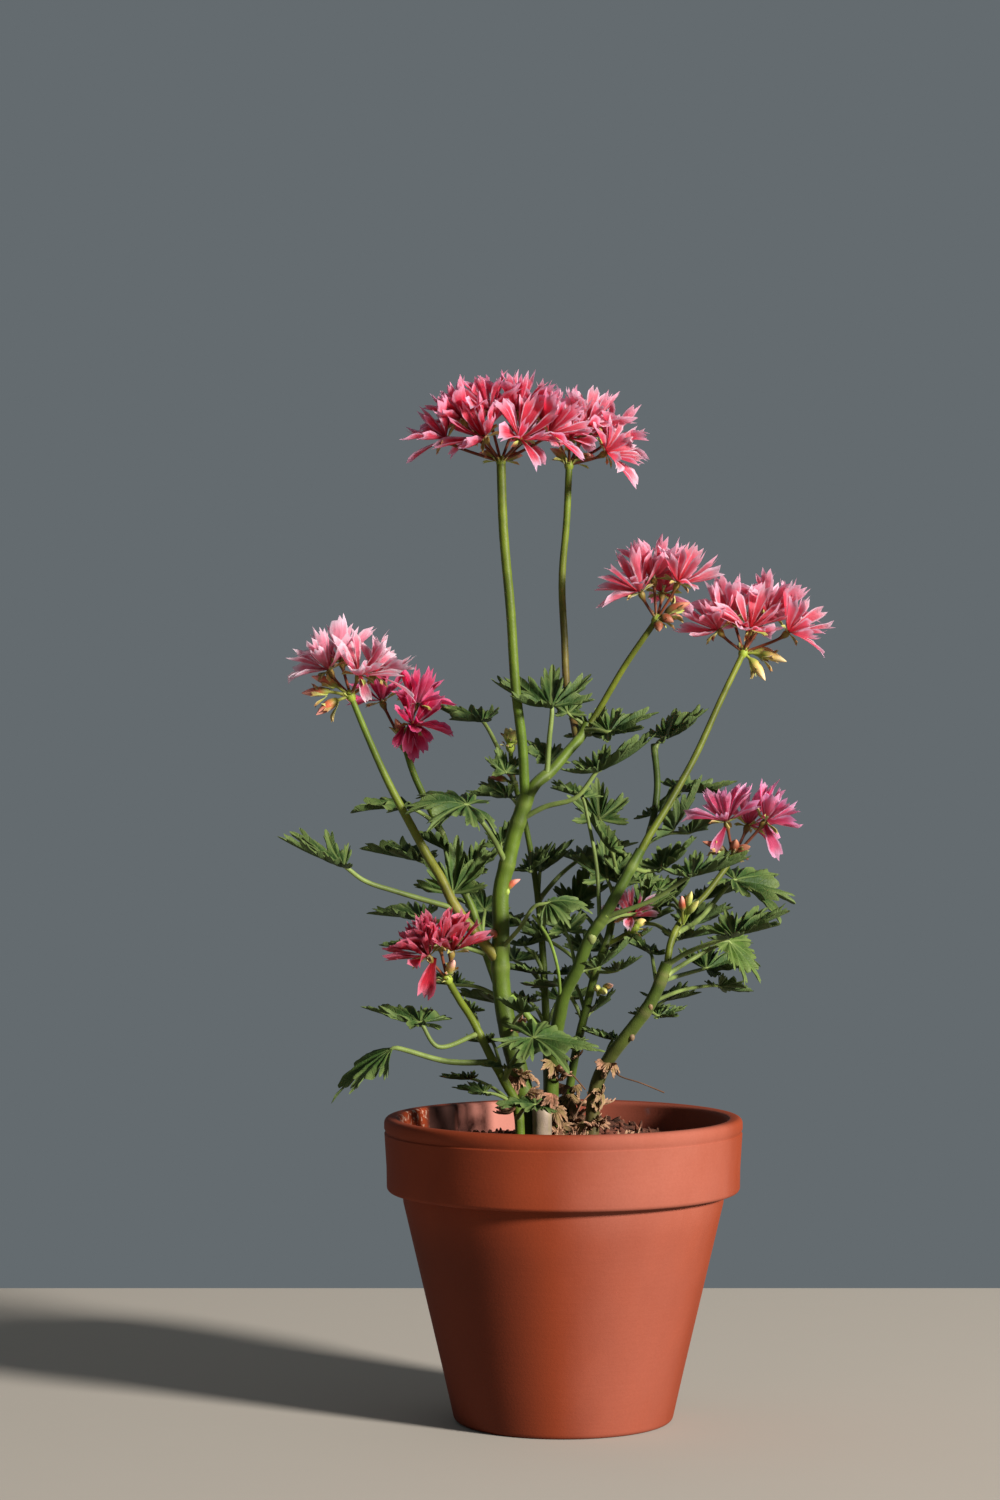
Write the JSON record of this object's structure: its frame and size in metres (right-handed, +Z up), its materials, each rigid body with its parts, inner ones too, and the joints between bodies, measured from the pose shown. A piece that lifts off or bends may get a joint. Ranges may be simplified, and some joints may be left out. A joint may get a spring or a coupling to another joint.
{
  "type": "potted geranium",
  "caption": "Potted geranium: branching stems with star-cut leaves and umbels of fringed pink flowers, in soil in a banded terracotta pot that stands on its foot.",
  "frame": {"origin": "middle of the pot's flat foot, on the surface it stands on", "axes": "+Z up along the pot's axis, +X to the right and -Y to the front as the plant is seen from its front"},
  "size_m": [0.231, 0.1496, 0.4335],
  "materials": {
    "terracotta": "matte unglazed fired clay",
    "soil": "dry crumbly potting compost",
    "shoot": "green stems, woody at the foot, with matte deep-cut leaves",
    "flower": "thin coral to pink petals with pale edges, on brown-green stalks"
  },
  "bodies": {
    "root": {"pot": "terracotta", "soil": "soil", "stem_main": "shoot", "stem_front": "shoot", "stem_right": "shoot", "stem_inner": "shoot", "stem_outer": "shoot", "stem_left_back": "shoot", "stem_back": "shoot", "umbel_top": "flower", "umbel_top_back": "flower", "umbel_centre": "flower", "umbel_right": "flower", "umbel_left": "flower", "umbel_left_back": "flower", "umbel_right_back": "flower", "umbel_low_left": "flower", "umbel_low_right": "flower", "umbel_young": "flower"}
  },
  "joints": []
}
